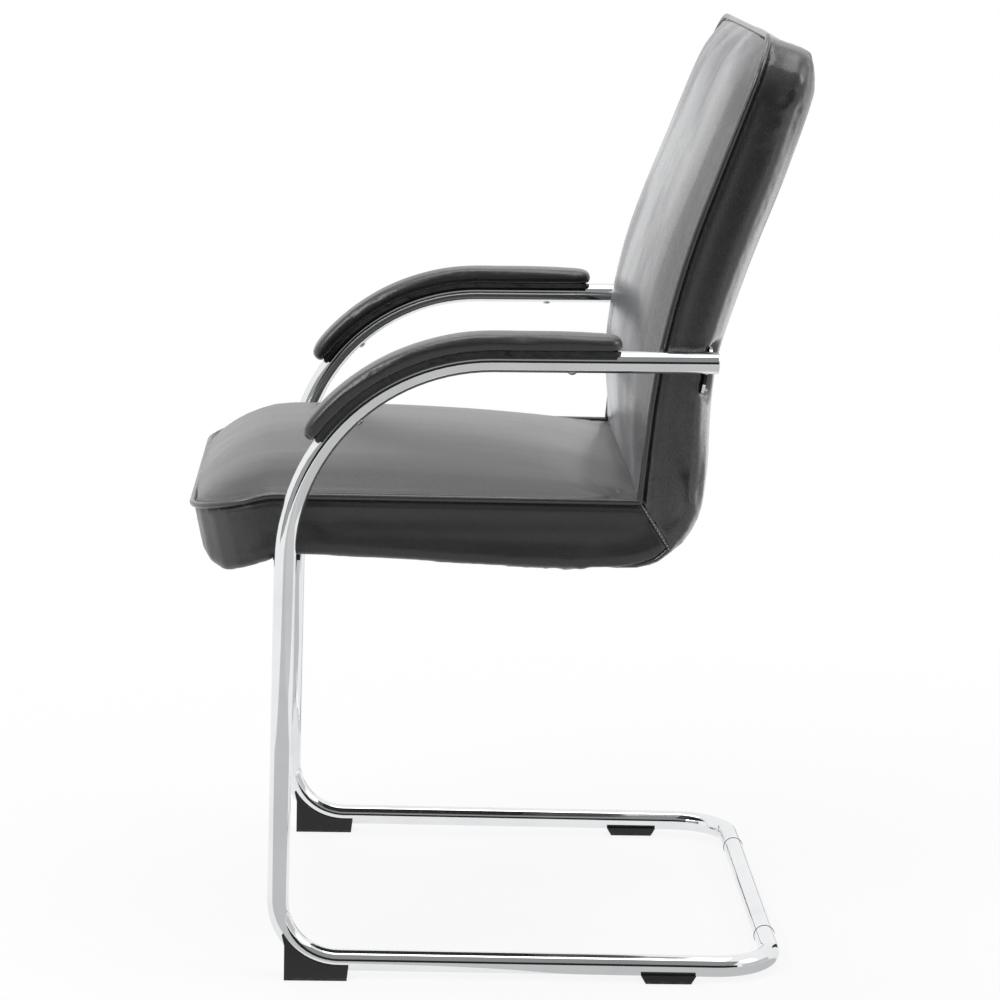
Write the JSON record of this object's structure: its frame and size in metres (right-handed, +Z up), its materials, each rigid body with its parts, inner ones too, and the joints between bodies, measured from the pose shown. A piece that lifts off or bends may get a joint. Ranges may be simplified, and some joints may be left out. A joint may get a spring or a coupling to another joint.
{
  "type": "visitor chair",
  "caption": "Cantilever visitor chair with a bent chromed tube frame, a padded black leather-look seat and back in one line, padded arms and black plastic feet.",
  "frame": {"origin": "on the floor, at the middle of the chair's width and depth", "axes": "+X to the sitter's left, -Y to the front, where the sitter faces, +Z up"},
  "size_m": [0.5962, 0.6326, 0.968],
  "materials": {
    "frame_chrome": "polished chrome plate on steel tube",
    "fastener_steel": "bright zinc plate",
    "support_steel": "semi-matt black powder coat",
    "foot_plastic": "matt black moulded plastic",
    "pad_base_plastic": "glossy black moulded plastic",
    "pad_leather": "soft semi-gloss black leather-look cover",
    "seat_leather": "semi-gloss black leather-look cover with a fine grain",
    "back_leather": "semi-gloss black leather-look cover with a fine grain",
    "rear_leather": "semi-gloss black leather-look cover with a fine grain",
    "piping_leather": "black leather-look piping with a fine grain",
    "plywood": "plain birch plywood",
    "underseat_fabric": "matt black non-woven cloth"
  },
  "bodies": {
    "root": {"frame_tube_left": "frame_chrome", "frame_tube_right": "frame_chrome", "rear_cross_tube": "frame_chrome", "arm_end_cap_left": "frame_chrome", "arm_end_cap_right": "frame_chrome", "back_bracket_left": "frame_chrome", "back_bracket_right": "frame_chrome", "rear_joint_spigots": "frame_chrome", "rear_joint_screws": "fastener_steel", "front_foot_screws": "fastener_steel", "rear_glide_screws": "fastener_steel", "seat_mount_bolts": "fastener_steel", "back_bracket_bolts": "fastener_steel", "arm_pad_screws": "fastener_steel", "seat_t_nuts": "fastener_steel", "back_t_nuts": "fastener_steel", "seat_cross_tube": "support_steel", "seat_mount_brackets": "support_steel", "front_foot_left": "foot_plastic", "front_foot_right": "foot_plastic", "rear_glide_left": "foot_plastic", "rear_glide_right": "foot_plastic", "arm_pad_base_left": "pad_base_plastic", "arm_pad_base_right": "pad_base_plastic", "arm_pad_cushion_left": "pad_leather", "arm_pad_cushion_right": "pad_leather", "seat_cushion": "seat_leather", "back_cushion": "back_leather", "rear_cover": "rear_leather", "seat_piping": "piping_leather", "back_piping": "piping_leather", "ply_shell": "plywood", "underseat_cover": "underseat_fabric"}
  },
  "joints": []
}
